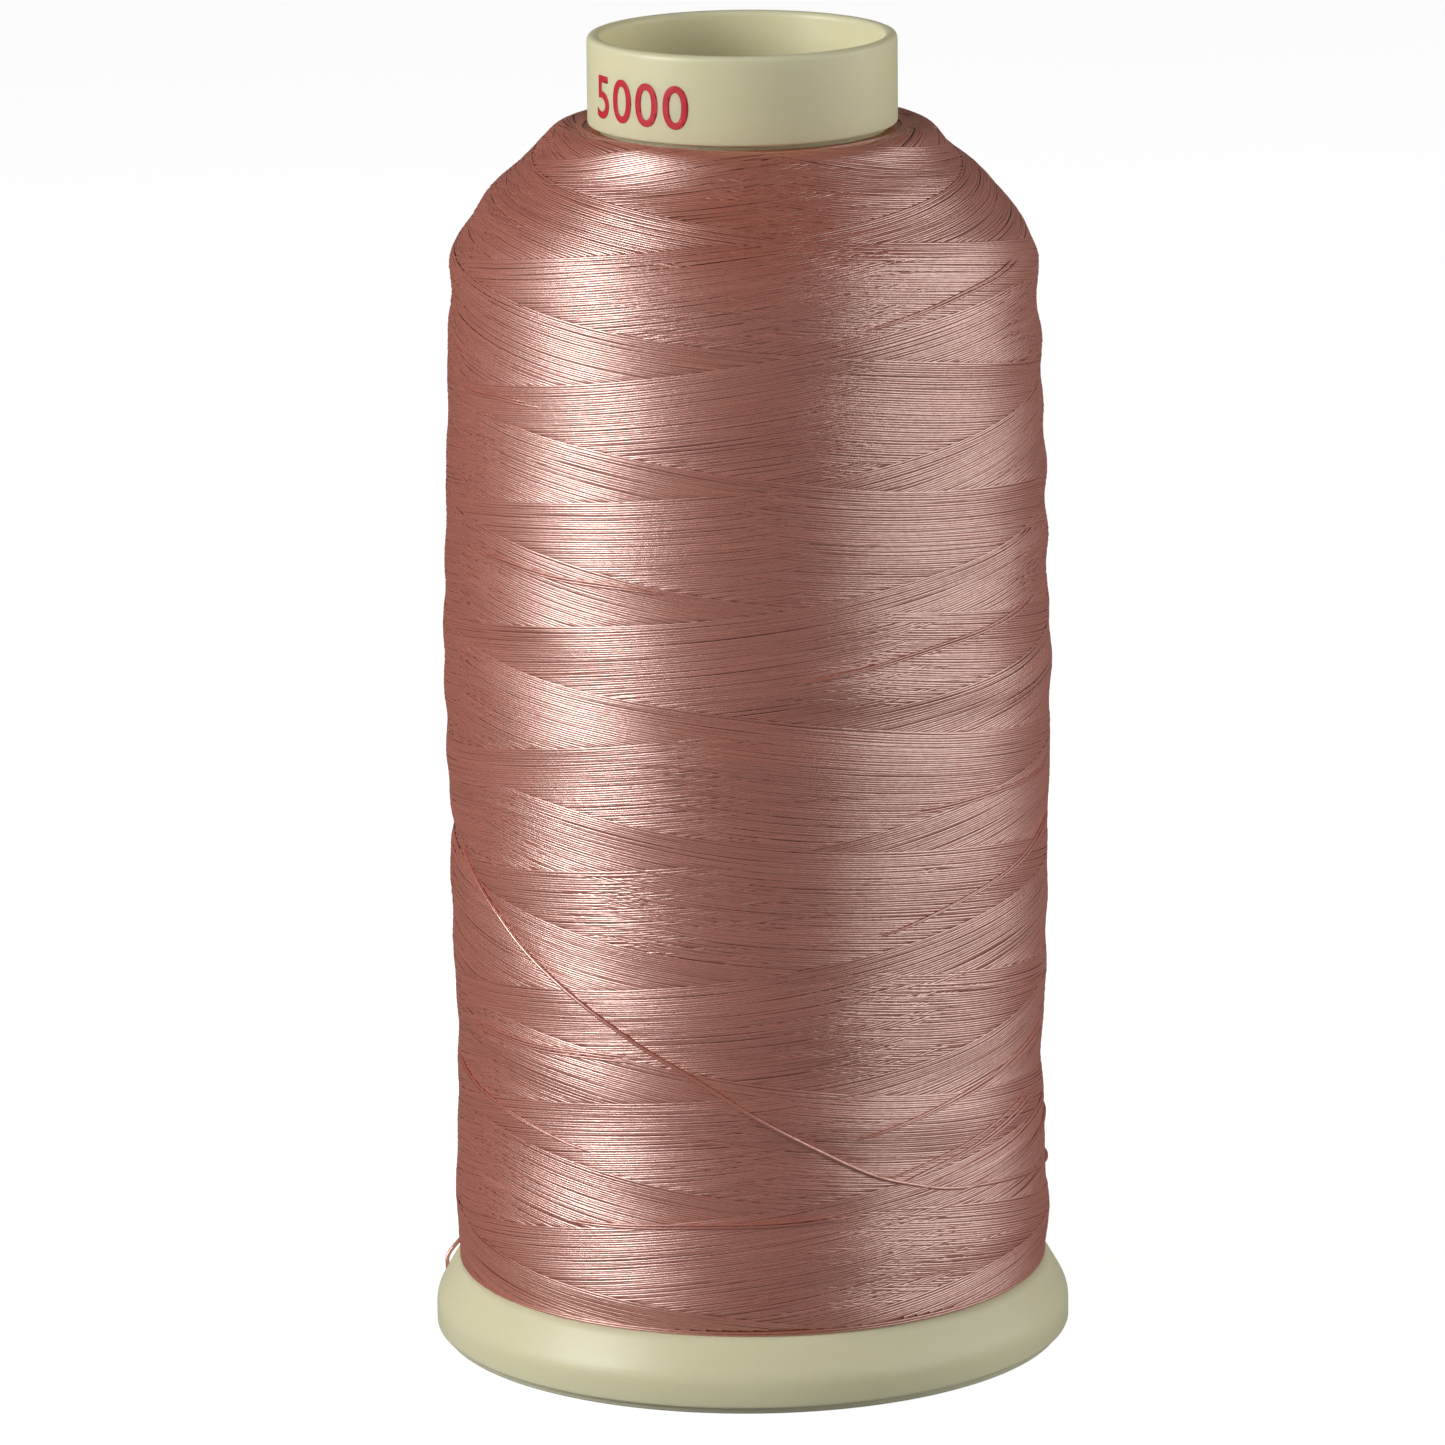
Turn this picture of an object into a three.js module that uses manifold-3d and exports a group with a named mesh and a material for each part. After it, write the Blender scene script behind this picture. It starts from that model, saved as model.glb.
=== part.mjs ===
// A large spool of machine embroidery thread: a tapered plastic tube pressed into a ribbed base flange,
// a snap-in plate under the flange that locks the thread's end, and the thread cross-wound on the tube.
// Millimetres, +Z up. The origin is the centre of the circle that the spool stands on.

import * as THREE from "three";
import { mergeVertices } from "three/addons/utils/BufferGeometryUtils.js";
import Module from "manifold-3d";

const wasm = await Module();
wasm.setup();

// ---------------------------------------------------------------- driving dimensions

const HEIGHT = 120; // from the ground to the collar's lip
const CLEARANCE = 0.3; // between pieces that fit into or round each other
const SEGMENTS = 60; // facets round every turned piece
const OVERSHOOT = 1; // cutting tools reach this far past the faces that they cut

// Winding tube
const NECK_RADIUS = 12.9; // outside, just under the collar
const COLLAR_STEP = 1.0; // the collar, bare above the thread, stands out from the neck
const COLLAR_HEIGHT = 8;
const TUBE_WALL = 1.2;
const FOOT_RADIUS = 13.9; // outside, where the tube meets the flange
const SEAT_WIDTH = 1.5; // ring round the foot that stands on the flange
const SEAT_THICKNESS = 1.2;
const SPIGOT_GAP = 0.4; // the foot goes down through the flange and ends above the lock plate
const BEAD_HEIGHT = 0.8; // snap bead inside the spigot
const BEAD_DEPTH = 0.6;
const BEAD_FROM_END = 1.0;

// Base flange
const FLANGE_RADIUS = 29.1;
const FLANGE_HEIGHT = 6.8; // ground to its top face
const RIM_HEIGHT = 3.3; // ground to the end of the upright rim
const BEVEL_WIDTH = 2.0; // from the rim in to the top face
const FLANGE_WALL = 1.5;
const EDGE_ROUND = 0.6; // rounding of the rim's upper edge
const RIB_COUNT = 12;
const RIB_THICKNESS = 1.0;
const RIB_GAP = 1.1; // ribs end this far above the lock plate
const CATCH_WIDTH = 1.0; // groove in the rim that takes the thread's end
const CATCH_DEPTH = 1.0;
const CATCH_SLOT_RISE = 1.1; // the groove opens through the skirt, up to this far above the lock plate
const CATCH_ANGLE = -96; // degrees from the front, towards the left

// Lock plate
const LIP_HEIGHT = 0.6; // the plate's lip stands under the skirt
const LIP_INSET = 0.6; // and stays this far inside the rim
const PLATE_THICKNESS = 1.6;
const HUB_BORE = 5.0; // radius of the hole for the thread stand's pin
const HUB_WALL = 1.4;
const HUB_HEIGHT = 16;
const GUSSET_COUNT = 4;
const GUSSET_HEIGHT = 7.5;
const FINGER_COUNT = 6;
const FINGER_THICKNESS = 0.8;
const FINGER_ROOM = 1.2; // free space inside the fingers, so that they can bend inwards
const FINGER_SLOT = 2.5;
const BARB_DEPTH = 0.7;
const BARB_HEIGHT = 0.5;
const BARB_LEAD = 0.9; // chamfer above the barb
const LOCK_TRAVEL = 1.5; // how far the plate drops to free the thread

// Label in the recess under the plate
const LABEL_RECESS = 0.4;
const LABEL_PAPER = 0.2;
const LABEL_MARGIN = 0.4; // paper to the recess's walls
const RECESS_INSET = 5.0; // from the plate's lip in to the recess
const RECESS_HUB_RING = 2.0; // solid ring left round the pin hole

// Thread
const WOUND_RADIUS = 27.0; // nominal radius of the wound thread
const SHOULDER_HEIGHT = 11.6; // sloping top of the winding
const TOP_LAYER = 1.1; // thickness of the winding where it meets the collar
const SHOULDER_CORNER = [0.31, 0.6]; // how far the slope bulges: shares of its width and height
// Small swells of the winding: [share of the upright part, change of radius]
const WAIST = [
  [0, -0.2],
  [0.05, 0.15],
  [0.18, -0.3],
  [0.37, 0.1],
  [0.57, 0.4],
  [0.73, 0.15],
  [0.87, -0.3],
  [1, -0.7],
];
const THREAD_DIAMETER = 0.35;
const TAIL_STEPS = 80;
// Last wrap of the thread: [degrees from the front, towards the right; height above the flange]
const TAIL_WRAP = [
  [-124, 44.6],
  [-116, 43.8],
  [-102, 42.2],
  [-88, 40.6],
  [-74, 38.6],
  [-60, 36.2],
  [-46, 33.1],
  [-20, 26.1],
  [2, 19.8],
  [25, 14.1],
  [55, 11.0],
  [90, 8.8],
  [125, 7.0],
  [160, 5.4],
  [195, 3.9],
  [225, 2.5],
  [247, 1.4],
];

// ---------------------------------------------------------------- sizes that follow from them

const collarRadius = NECK_RADIUS + COLLAR_STEP;
const collarBottom = HEIGHT - COLLAR_HEIGHT;
const woundTop = collarBottom - CLEARANCE;
const shoulderStart = woundTop - SHOULDER_HEIGHT;
const bevelTopRadius = FLANGE_RADIUS - BEVEL_WIDTH;
const skirtInside = FLANGE_RADIUS - FLANGE_WALL;
const boreRadius = FOOT_RADIUS + CLEARANCE; // hole in the flange for the spigot
const bossRadius = boreRadius + FLANGE_WALL;
const seatRadius = FOOT_RADIUS + SEAT_WIDTH;
const spigotEnd = PLATE_THICKNESS + SPIGOT_GAP;
const tubeBore = FOOT_RADIUS - TUBE_WALL;
const beadRadius = tubeBore - BEAD_DEPTH;
const beadTop = spigotEnd + BEAD_FROM_END + BEAD_HEIGHT;
const lipRadius = FLANGE_RADIUS - LIP_INSET;
const plateRadius = skirtInside - CLEARANCE;
const recessRadius = lipRadius - RECESS_INSET;
const recessInner = HUB_BORE + RECESS_HUB_RING;
const hubRadius = HUB_BORE + HUB_WALL;
const fingerRadius = beadRadius - CLEARANCE;
const fingerInside = fingerRadius - FINGER_THICKNESS;
const barbBottom = beadTop + CLEARANCE + LOCK_TRAVEL;
const slotTop = PLATE_THICKNESS + CATCH_SLOT_RISE;
const tailStandOff = CLEARANCE + THREAD_DIAMETER / 2; // thread's middle above what it lies on

// ---------------------------------------------------------------- helpers

// Points of an arc in the plane of an outline, in [radius, height]; angles in degrees.
function arc(centreRadius, centreHeight, radius, from, to, steps) {
  return Array.from({ length: steps + 1 }, (_, i) => {
    const angle = THREE.MathUtils.degToRad(from + ((to - from) * i) / steps);
    return [centreRadius + radius * Math.cos(angle), centreHeight + radius * Math.sin(angle)];
  });
}

// A ring turned about Z from a closed outline of [radius, height] points, listed anticlockwise.
function turned(outline) {
  const points = [...outline, outline[0]].map(([radius, height]) => new THREE.Vector2(radius, height));
  return new THREE.LatheGeometry(points, SEGMENTS).rotateX(Math.PI / 2);
}

// A closed geometry as a solid that can be joined and cut.
function solidOf(geometry) {
  geometry.deleteAttribute("normal");
  geometry.deleteAttribute("uv");
  const merged = mergeVertices(geometry);
  return new wasm.Manifold(
    new wasm.Mesh({
      numProp: 3,
      vertProperties: merged.attributes.position.array,
      triVerts: new Uint32Array(merged.index.array),
    }),
  );
}

function geometryOf(solid) {
  const { vertProperties, triVerts } = solid.getMesh();
  const geometry = new THREE.BufferGeometry();
  geometry.setAttribute("position", new THREE.BufferAttribute(vertProperties, 3));
  geometry.setIndex(new THREE.BufferAttribute(triVerts, 1));
  const faceted = geometry.toNonIndexed();
  faceted.computeVertexNormals();
  return faceted;
}

// A block that reaches along +X between two radii, to be turned about Z.
function radialBlock(inner, outer, width, bottom, top) {
  const block = new THREE.BoxGeometry(outer - inner, width, top - bottom);
  return block.translate((inner + outer) / 2, 0, (bottom + top) / 2);
}

// Copies of a radial piece spread evenly round the axis.
function spread(count, makePiece) {
  return Array.from({ length: count }, (_, i) => {
    return solidOf(makePiece().rotateZ(((i + 0.5) * 2 * Math.PI) / count));
  });
}

// Radians from +X for an angle in degrees from the front (-Y), counted towards the right (+X).
function fromFront(degrees) {
  return THREE.MathUtils.degToRad(degrees - 90);
}

function at(degrees, radius, height) {
  const angle = fromFront(degrees);
  return new THREE.Vector3(radius * Math.cos(angle), radius * Math.sin(angle), height);
}

function mesh(name, geometry, color, roughness) {
  const part = new THREE.Mesh(geometry, new THREE.MeshStandardMaterial({ color, roughness, metalness: 0 }));
  part.name = name;
  return part;
}

// ---------------------------------------------------------------- winding tube

function windingTube() {
  const lip = TUBE_WALL / 2;
  const collarBore = collarRadius - TUBE_WALL;
  const neckBore = NECK_RADIUS - TUBE_WALL;
  const seatTop = FLANGE_HEIGHT + SEAT_THICKNESS;
  const beadMiddle = beadTop - BEAD_HEIGHT / 2;
  return turned([
    [tubeBore, spigotEnd],
    [FOOT_RADIUS, spigotEnd],
    [FOOT_RADIUS, FLANGE_HEIGHT],
    [seatRadius, FLANGE_HEIGHT],
    [seatRadius, seatTop],
    [FOOT_RADIUS, seatTop],
    [NECK_RADIUS, collarBottom],
    [collarRadius, collarBottom],
    ...arc(collarRadius - lip, HEIGHT - lip, lip, 0, 180, 8),
    [collarBore, collarBottom],
    [neckBore, collarBottom - TUBE_WALL],
    [tubeBore, seatTop],
    [tubeBore, beadTop],
    [beadRadius, beadMiddle + BEAD_HEIGHT / 4],
    [beadRadius, beadMiddle - BEAD_HEIGHT / 4],
    [tubeBore, beadTop - BEAD_HEIGHT],
  ]);
}

// ---------------------------------------------------------------- base flange

function flangeShell() {
  const underTop = FLANGE_HEIGHT - FLANGE_WALL;
  const bevelAngle = THREE.MathUtils.radToDeg(Math.atan2(BEVEL_WIDTH, FLANGE_HEIGHT - RIM_HEIGHT));
  return turned([
    [skirtInside, LIP_HEIGHT],
    [FLANGE_RADIUS, LIP_HEIGHT],
    ...arc(FLANGE_RADIUS - EDGE_ROUND, RIM_HEIGHT, EDGE_ROUND, 0, bevelAngle, 3),
    ...arc(bevelTopRadius - EDGE_ROUND, FLANGE_HEIGHT - EDGE_ROUND, EDGE_ROUND, bevelAngle, 90, 3),
    [boreRadius, FLANGE_HEIGHT],
    [boreRadius, spigotEnd],
    [bossRadius, spigotEnd],
    [bossRadius, underTop],
    [skirtInside - BEVEL_WIDTH, underTop],
    [skirtInside, RIM_HEIGHT],
  ]);
}

function catchTools() {
  const outer = FLANGE_RADIUS + OVERSHOOT;
  const groove = radialBlock(FLANGE_RADIUS - CATCH_DEPTH, outer, CATCH_WIDTH, 0, FLANGE_HEIGHT);
  const slot = radialBlock(skirtInside - OVERSHOOT, outer, CATCH_WIDTH, 0, slotTop);
  return [groove, slot].map((tool) => solidOf(tool.rotateZ(fromFront(CATCH_ANGLE))));
}

function baseFlange() {
  const ribTop = FLANGE_HEIGHT - FLANGE_WALL / 2;
  const ribBottom = PLATE_THICKNESS + RIB_GAP;
  const ribOuter = skirtInside - BEVEL_WIDTH / 2;
  const ribInner = bossRadius - FLANGE_WALL / 2;
  const makeRib = () => radialBlock(ribInner, ribOuter, RIB_THICKNESS, ribBottom, ribTop);
  let flange = solidOf(flangeShell());
  for (const rib of spread(RIB_COUNT, makeRib)) {
    flange = flange.add(rib);
  }
  for (const tool of catchTools()) {
    flange = flange.subtract(tool);
  }
  return geometryOf(flange);
}

// ---------------------------------------------------------------- lock plate

function plateDisc() {
  return turned([
    [HUB_BORE, 0],
    [recessInner, 0],
    [recessInner, LABEL_RECESS],
    [recessRadius, LABEL_RECESS],
    [recessRadius, 0],
    [lipRadius, 0],
    [lipRadius, LIP_HEIGHT],
    [plateRadius, LIP_HEIGHT],
    [plateRadius, PLATE_THICKNESS],
    [hubRadius, PLATE_THICKNESS],
    [hubRadius, HUB_HEIGHT],
    [HUB_BORE, HUB_HEIGHT],
  ]);
}

function fingerRing() {
  const root = PLATE_THICKNESS / 2;
  const barbTop = barbBottom + BARB_HEIGHT;
  return turned([
    [fingerInside, root],
    [fingerRadius, root],
    [fingerRadius, barbBottom],
    [fingerRadius + BARB_DEPTH, barbBottom],
    [fingerRadius + BARB_DEPTH, barbTop],
    [fingerRadius, barbTop + BARB_LEAD],
    [fingerInside, barbTop + BARB_LEAD],
  ]);
}

// A triangular web between the hub and the plate.
function gusset() {
  const thickness = HUB_WALL;
  const reach = fingerInside - FINGER_ROOM;
  const web = new THREE.Shape([
    new THREE.Vector2(hubRadius - HUB_WALL / 2, PLATE_THICKNESS / 2),
    new THREE.Vector2(reach, PLATE_THICKNESS / 2),
    new THREE.Vector2(reach, PLATE_THICKNESS),
    new THREE.Vector2(hubRadius, PLATE_THICKNESS + GUSSET_HEIGHT),
    new THREE.Vector2(hubRadius - HUB_WALL / 2, PLATE_THICKNESS + GUSSET_HEIGHT),
  ]);
  const solid = new THREE.ExtrudeGeometry(web, { depth: thickness, bevelEnabled: false });
  return solid.translate(0, 0, -thickness / 2).rotateX(Math.PI / 2);
}

function lockPlate() {
  const makeSlot = () => {
    return radialBlock(
      fingerInside - OVERSHOOT,
      fingerRadius + BARB_DEPTH + OVERSHOOT,
      FINGER_SLOT,
      PLATE_THICKNESS,
      barbBottom + BARB_HEIGHT + BARB_LEAD + OVERSHOOT,
    );
  };
  let fingers = solidOf(fingerRing());
  for (const slot of spread(FINGER_COUNT, makeSlot)) {
    fingers = fingers.subtract(slot);
  }
  let plate = solidOf(plateDisc()).add(fingers);
  for (const web of spread(GUSSET_COUNT, gusset)) {
    plate = plate.add(web);
  }
  return geometryOf(plate);
}

// ---------------------------------------------------------------- paper label

function paperLabel() {
  const inner = recessInner + LABEL_MARGIN;
  const outer = recessRadius - LABEL_MARGIN;
  const bottom = LABEL_RECESS - LABEL_PAPER;
  return turned([
    [inner, bottom],
    [outer, bottom],
    [outer, LABEL_RECESS],
    [inner, LABEL_RECESS],
  ]);
}

// ---------------------------------------------------------------- wound thread

const waistCurve = new THREE.SplineCurve(
  WAIST.map(([share, change]) => {
    const height = FLANGE_HEIGHT + share * (shoulderStart - FLANGE_HEIGHT);
    return new THREE.Vector2(WOUND_RADIUS + change, height);
  }),
);

// Radius of the upright part of the winding at a height.
function woundRadius(height) {
  const points = waistCurve.getPoints(200);
  const above = points.find((point) => point.y >= height) ?? points.at(-1);
  return above.x;
}

function shoulder() {
  const start = waistCurve.getPoint(1);
  const end = new THREE.Vector2(NECK_RADIUS + CLEARANCE + TOP_LAYER, woundTop);
  const [inward, upward] = SHOULDER_CORNER;
  const corner = new THREE.Vector2(
    start.x - inward * (start.x - end.x),
    start.y + upward * (end.y - start.y),
  );
  return new THREE.QuadraticBezierCurve(start, corner, end).getPoints(8);
}

function threadPackage() {
  const seatTop = FLANGE_HEIGHT + SEAT_THICKNESS + CLEARANCE;
  const outside = [...waistCurve.getPoints(21).slice(0, -1), ...shoulder()];
  return turned([
    [seatRadius + CLEARANCE, FLANGE_HEIGHT],
    ...outside.map((point) => [point.x, point.y]),
    [NECK_RADIUS + CLEARANCE, woundTop],
    [FOOT_RADIUS + CLEARANCE, seatTop],
    [seatRadius + CLEARANCE, seatTop],
  ]);
}

// ---------------------------------------------------------------- the thread's end

// Stepped evenly from point to point, so that the short bends at the rim get as many steps as the wrap.
class TailRoute extends THREE.CatmullRomCurve3 {
  getPointAt(u, target) {
    return this.getPoint(u, target);
  }

  getTangentAt(u, target) {
    return this.getTangent(u, target);
  }
}

// Down the bevel, along the groove in the rim, and through the skirt to the space above the lock plate.
function tailEnd() {
  const turn = CATCH_ANGLE + 360;
  const grooveRadius = FLANGE_RADIUS - CATCH_DEPTH + tailStandOff;
  const slotHeight = slotTop - tailStandOff;
  return [
    at(turn - 9, woundRadius(FLANGE_HEIGHT) + tailStandOff, FLANGE_HEIGHT + 2 * tailStandOff),
    at(turn - 3, bevelTopRadius + tailStandOff, FLANGE_HEIGHT + tailStandOff),
    at(turn - 1, bevelTopRadius + 2 * tailStandOff, FLANGE_HEIGHT - tailStandOff),
    at(turn, grooveRadius, FLANGE_HEIGHT - 4 * tailStandOff),
    at(turn, grooveRadius, RIM_HEIGHT),
    at(turn, skirtInside + FLANGE_WALL / 2, slotHeight),
    at(turn, skirtInside - FLANGE_WALL / 2, slotHeight),
  ];
}

function threadTail() {
  const wrap = TAIL_WRAP.map(([degrees, rise]) => {
    const height = FLANGE_HEIGHT + rise;
    return at(degrees, woundRadius(height) + tailStandOff, height);
  });
  const route = new TailRoute([...wrap, ...tailEnd()]);
  const section = new THREE.Shape(
    arc(0, 0, THREAD_DIAMETER / 2, 0, 315, 7).map(([x, y]) => new THREE.Vector2(x, y)),
  );
  return new THREE.ExtrudeGeometry(section, { steps: TAIL_STEPS, extrudePath: route });
}

// ---------------------------------------------------------------- the assembly

const IVORY = 0xcdc7ad;
const DUSTY_ROSE = 0xa8776b;
const WHITE_PAPER = 0xe9e6dd;

const spool = new THREE.Group();
spool.add(mesh("winding_tube", windingTube(), IVORY, 0.4));
spool.add(mesh("base_flange", baseFlange(), IVORY, 0.4));
spool.add(mesh("lock_plate", lockPlate(), IVORY, 0.45));
spool.add(mesh("paper_label", paperLabel(), WHITE_PAPER, 0.8));
spool.add(mesh("thread_package", threadPackage(), DUSTY_ROSE, 0.5));
spool.add(mesh("thread_tail", threadTail(), DUSTY_ROSE, 0.5));

export default spool;
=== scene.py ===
# %% [markdown]
# # A spool of embroidery thread
# This lesson dresses a imported CAD model of a thread spool: satin thread cross-wound on an ivory plastic
# tube, with a bare collar on top and a wide base below. Everything made here rides on one of its two
# bodies, the spool itself or the lock plate that slides down out of the base. The CAD parts are kept in
# the scene, the replaced ones hidden.

# %% Load the frame
import math

import bmesh
import bpy
import numpy as np
from mathutils import Matrix, Vector


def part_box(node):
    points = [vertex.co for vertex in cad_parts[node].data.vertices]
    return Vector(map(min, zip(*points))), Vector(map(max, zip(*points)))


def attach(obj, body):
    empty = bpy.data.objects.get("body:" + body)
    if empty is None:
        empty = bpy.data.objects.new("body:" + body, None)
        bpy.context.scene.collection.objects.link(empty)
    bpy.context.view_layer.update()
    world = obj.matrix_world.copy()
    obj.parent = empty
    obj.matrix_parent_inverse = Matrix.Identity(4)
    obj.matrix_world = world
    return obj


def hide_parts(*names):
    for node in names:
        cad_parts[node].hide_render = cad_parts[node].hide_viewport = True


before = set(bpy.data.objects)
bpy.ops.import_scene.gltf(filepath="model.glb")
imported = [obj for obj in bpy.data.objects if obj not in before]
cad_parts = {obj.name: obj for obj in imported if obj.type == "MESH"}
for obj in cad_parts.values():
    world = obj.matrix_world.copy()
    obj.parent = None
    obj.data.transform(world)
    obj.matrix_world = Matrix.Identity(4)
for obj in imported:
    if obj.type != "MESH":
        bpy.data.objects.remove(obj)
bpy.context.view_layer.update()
MM = 0.001

# %% [markdown]
# ## Camera
# The spool is seen from a little above, from far away through a long lens, so its sides stay almost
# parallel. The camera is placed by its distance and its angle above the horizon, aimed at a point slightly
# left of the axis and below the middle, and rolled by about half a degree.

# %% Camera
MIDDLE = Vector((0, 0, 60 * MM))
DISTANCE = 819.7 * MM
ELEVATION = math.radians(13.09)
ROLL = math.radians(-0.53)
AIM_LEFT = 2.3 * MM
AIM_DOWN = 3.18 * MM
LENS = 224.9

toward_camera = Vector((0, -math.cos(ELEVATION), math.sin(ELEVATION)))
screen_up = Vector((0, math.sin(ELEVATION), math.cos(ELEVATION)))
camera = bpy.data.objects.new("camera", bpy.data.cameras.new("camera"))
bpy.context.scene.collection.objects.link(camera)
camera.location = MIDDLE + toward_camera * DISTANCE
aim = MIDDLE - Vector((AIM_LEFT, 0, 0)) - screen_up * AIM_DOWN
look = (aim - camera.location).to_track_quat("-Z", "Y")
camera.rotation_mode = "QUATERNION"
camera.rotation_quaternion = look @ Matrix.Rotation(ROLL, 4, "Z").to_quaternion()
camera.data.lens = LENS
camera.data.clip_start = 0.01
camera.data.clip_end = 20
bpy.context.scene.camera = camera
print("camera", tuple(round(x, 4) for x in camera.location))

# %% [markdown]
# ## Light
# Shiny thread shows lamps as upright bands, because every strand is a thin mirror bent round the spool.
# A high softbox far to the left makes the pale band and a wide, dimmer one on the right makes the soft
# second one, with a dark band left between them. The world is a dim grey to the object, darker overhead, and
# plain white to the camera, and the floor adds a little white of its own, also only for the camera.

# %% Softboxes
def softbox(name, azimuth, elevation, distance, size, power):
    """A square lamp aimed at the middle of the spool; azimuth is from the front, to the right."""
    lamp = bpy.data.lights.new(name, "AREA")
    lamp.shape = "RECTANGLE"
    lamp.size, lamp.size_y = size
    lamp.energy = power
    holder = bpy.data.objects.new(name, lamp)
    bpy.context.scene.collection.objects.link(holder)
    turn, rise = math.radians(azimuth), math.radians(elevation)
    away = Vector((math.sin(turn) * math.cos(rise), -math.cos(turn) * math.cos(rise), math.sin(rise)))
    holder.location = MIDDLE + away * distance
    holder.rotation_euler = away.to_track_quat("Z", "Y").to_euler()
    print(name, "at", tuple(round(x, 2) for x in holder.location))


softbox("left_softbox", -64, 24, 0.7, (0.36, 0.36), 4.05)
softbox("right_softbox", 78, 12, 0.8, (1.1, 0.6), 4.5)

# %% [markdown]
# ### World
# Rays that leave the object see a dim grey that fades overhead, and the camera sees plain white.

# %% World
WORLD_GREY = 0.15
ZENITH_GREY = 0.05
world = bpy.data.worlds.new("studio")
bpy.context.scene.world = world
world.use_nodes = True
web = world.node_tree
web.nodes.clear()
dim = web.nodes.new("ShaderNodeBackground")
direction = web.nodes.new("ShaderNodeTexCoord")
split = web.nodes.new("ShaderNodeSeparateXYZ")
fade = web.nodes.new("ShaderNodeMapRange")
fade.inputs["From Min"].default_value = 0.15
fade.inputs["From Max"].default_value = 0.85
fade.inputs["To Min"].default_value = WORLD_GREY
fade.inputs["To Max"].default_value = ZENITH_GREY
web.links.new(direction.outputs["Generated"], split.inputs[0])
web.links.new(split.outputs["Z"], fade.inputs["Value"])
dim.inputs["Color"].default_value = (1, 1, 1, 1)
web.links.new(fade.outputs[0], dim.inputs["Strength"])
white = web.nodes.new("ShaderNodeBackground")
white.inputs["Color"].default_value = (1, 1, 1, 1)
choose = web.nodes.new("ShaderNodeMixShader")
ray = web.nodes.new("ShaderNodeLightPath")
sky = web.nodes.new("ShaderNodeOutputWorld")
web.links.new(ray.outputs["Is Camera Ray"], choose.inputs[0])
web.links.new(dim.outputs[0], choose.inputs[1])
web.links.new(white.outputs[0], choose.inputs[2])
web.links.new(choose.outputs[0], sky.inputs["Surface"])
bpy.context.scene.view_settings.view_transform = "Standard"

# %% [markdown]
# ## Sums on shader sockets
# A finish is easier to read as arithmetic than as a web of nodes. `Value` wraps one output socket, and its
# operators add Math nodes, also when the plain number comes first, so `1 - mask` works. `Recipe` holds one
# material and adds any other node from its type, its settings and its inputs.

# %% Shader helpers
class Value:
    """An output socket that sums can be done on."""

    def __init__(self, recipe, socket):
        self.recipe = recipe
        self.socket = socket

    def sum(self, operation, first, second):
        return self.recipe.add("ShaderNodeMath", {"operation": operation}, {0: first, 1: second})

    def __add__(self, other):
        return self.sum("ADD", self, other)

    def __radd__(self, other):
        return self.sum("ADD", other, self)

    def __sub__(self, other):
        return self.sum("SUBTRACT", self, other)

    def __rsub__(self, other):
        return self.sum("SUBTRACT", other, self)

    def __mul__(self, other):
        return self.sum("MULTIPLY", self, other)

    def __rmul__(self, other):
        return self.sum("MULTIPLY", other, self)


class Recipe:
    """One material, ready to take nodes."""

    def __init__(self, name):
        self.material = bpy.data.materials.new(name)
        self.material.use_nodes = True
        self.nodes = self.material.node_tree.nodes
        self.links = self.material.node_tree.links
        self.nodes.clear()

    def add(self, kind, settings=None, values=None, output=0):
        """Adds a node and returns one of its outputs."""
        node = self.nodes.new(kind)
        for name, setting in (settings or {}).items():
            if name == "stops":
                self.set_stops(node.color_ramp.elements, setting)
            else:
                setattr(node, name, setting)
        for name, value in (values or {}).items():
            if isinstance(value, Value):
                self.links.new(value.socket, node.inputs[name])
            else:
                node.inputs[name].default_value = value
        return Value(self, node.outputs[output]) if len(node.outputs) else None

    def set_stops(self, elements, stops):
        while len(elements) < len(stops):
            elements.new(1)
        for element, (place, level) in zip(elements, stops):
            element.position = place
            element.color = (level, level, level, 1)

    def noise(self, stretch, detail=2.0, roughness=0.5):
        """Noise in the object's own place, with `stretch` waves in a millimetre along each axis."""
        place = self.add("ShaderNodeTexCoord", output="Object")
        scale = tuple(each / MM for each in stretch)
        mapped = self.add("ShaderNodeMapping", {}, {"Vector": place, "Scale": scale})
        values = {"Vector": mapped, "Scale": 1.0, "Detail": detail, "Roughness": roughness}
        return self.add("ShaderNodeTexNoise", {}, values)

    def mix(self, factor, first, second):
        """A colour between two colours."""
        settings = {"data_type": "RGBA", "clamp_factor": True}
        return self.add("ShaderNodeMix", settings, {0: factor, 6: first, 7: second}, output=2)

    def ramp(self, factor, stops):
        """A number reshaped by stops of (place, level)."""
        return self.add("ShaderNodeValToRGB", {"stops": stops}, {"Fac": factor})

    def bump(self, height, distance, strength=1.0):
        values = {"Height": height, "Distance": distance, "Strength": strength}
        return self.add("ShaderNodeBump", {}, values)

    def finish(self, **values):
        """Ends the recipe in one Principled shader."""
        named = {name.replace("_", " "): value for name, value in values.items()}
        shader = self.add("ShaderNodeBsdfPrincipled", {}, named)
        self.add("ShaderNodeOutputMaterial", {}, {"Surface": shader})
        return self.material


def shade(red, green, blue):
    return (red, green, blue, 1)


# %% [markdown]
# ## Floor
# The floor is a wide pale disc. It takes the object's soft shadow like any matt board, and adds a share of
# white for the camera so that it fades into the white behind it. It lies a hair below the plate's ring, so
# that the two faces never fight for one place.

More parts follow.
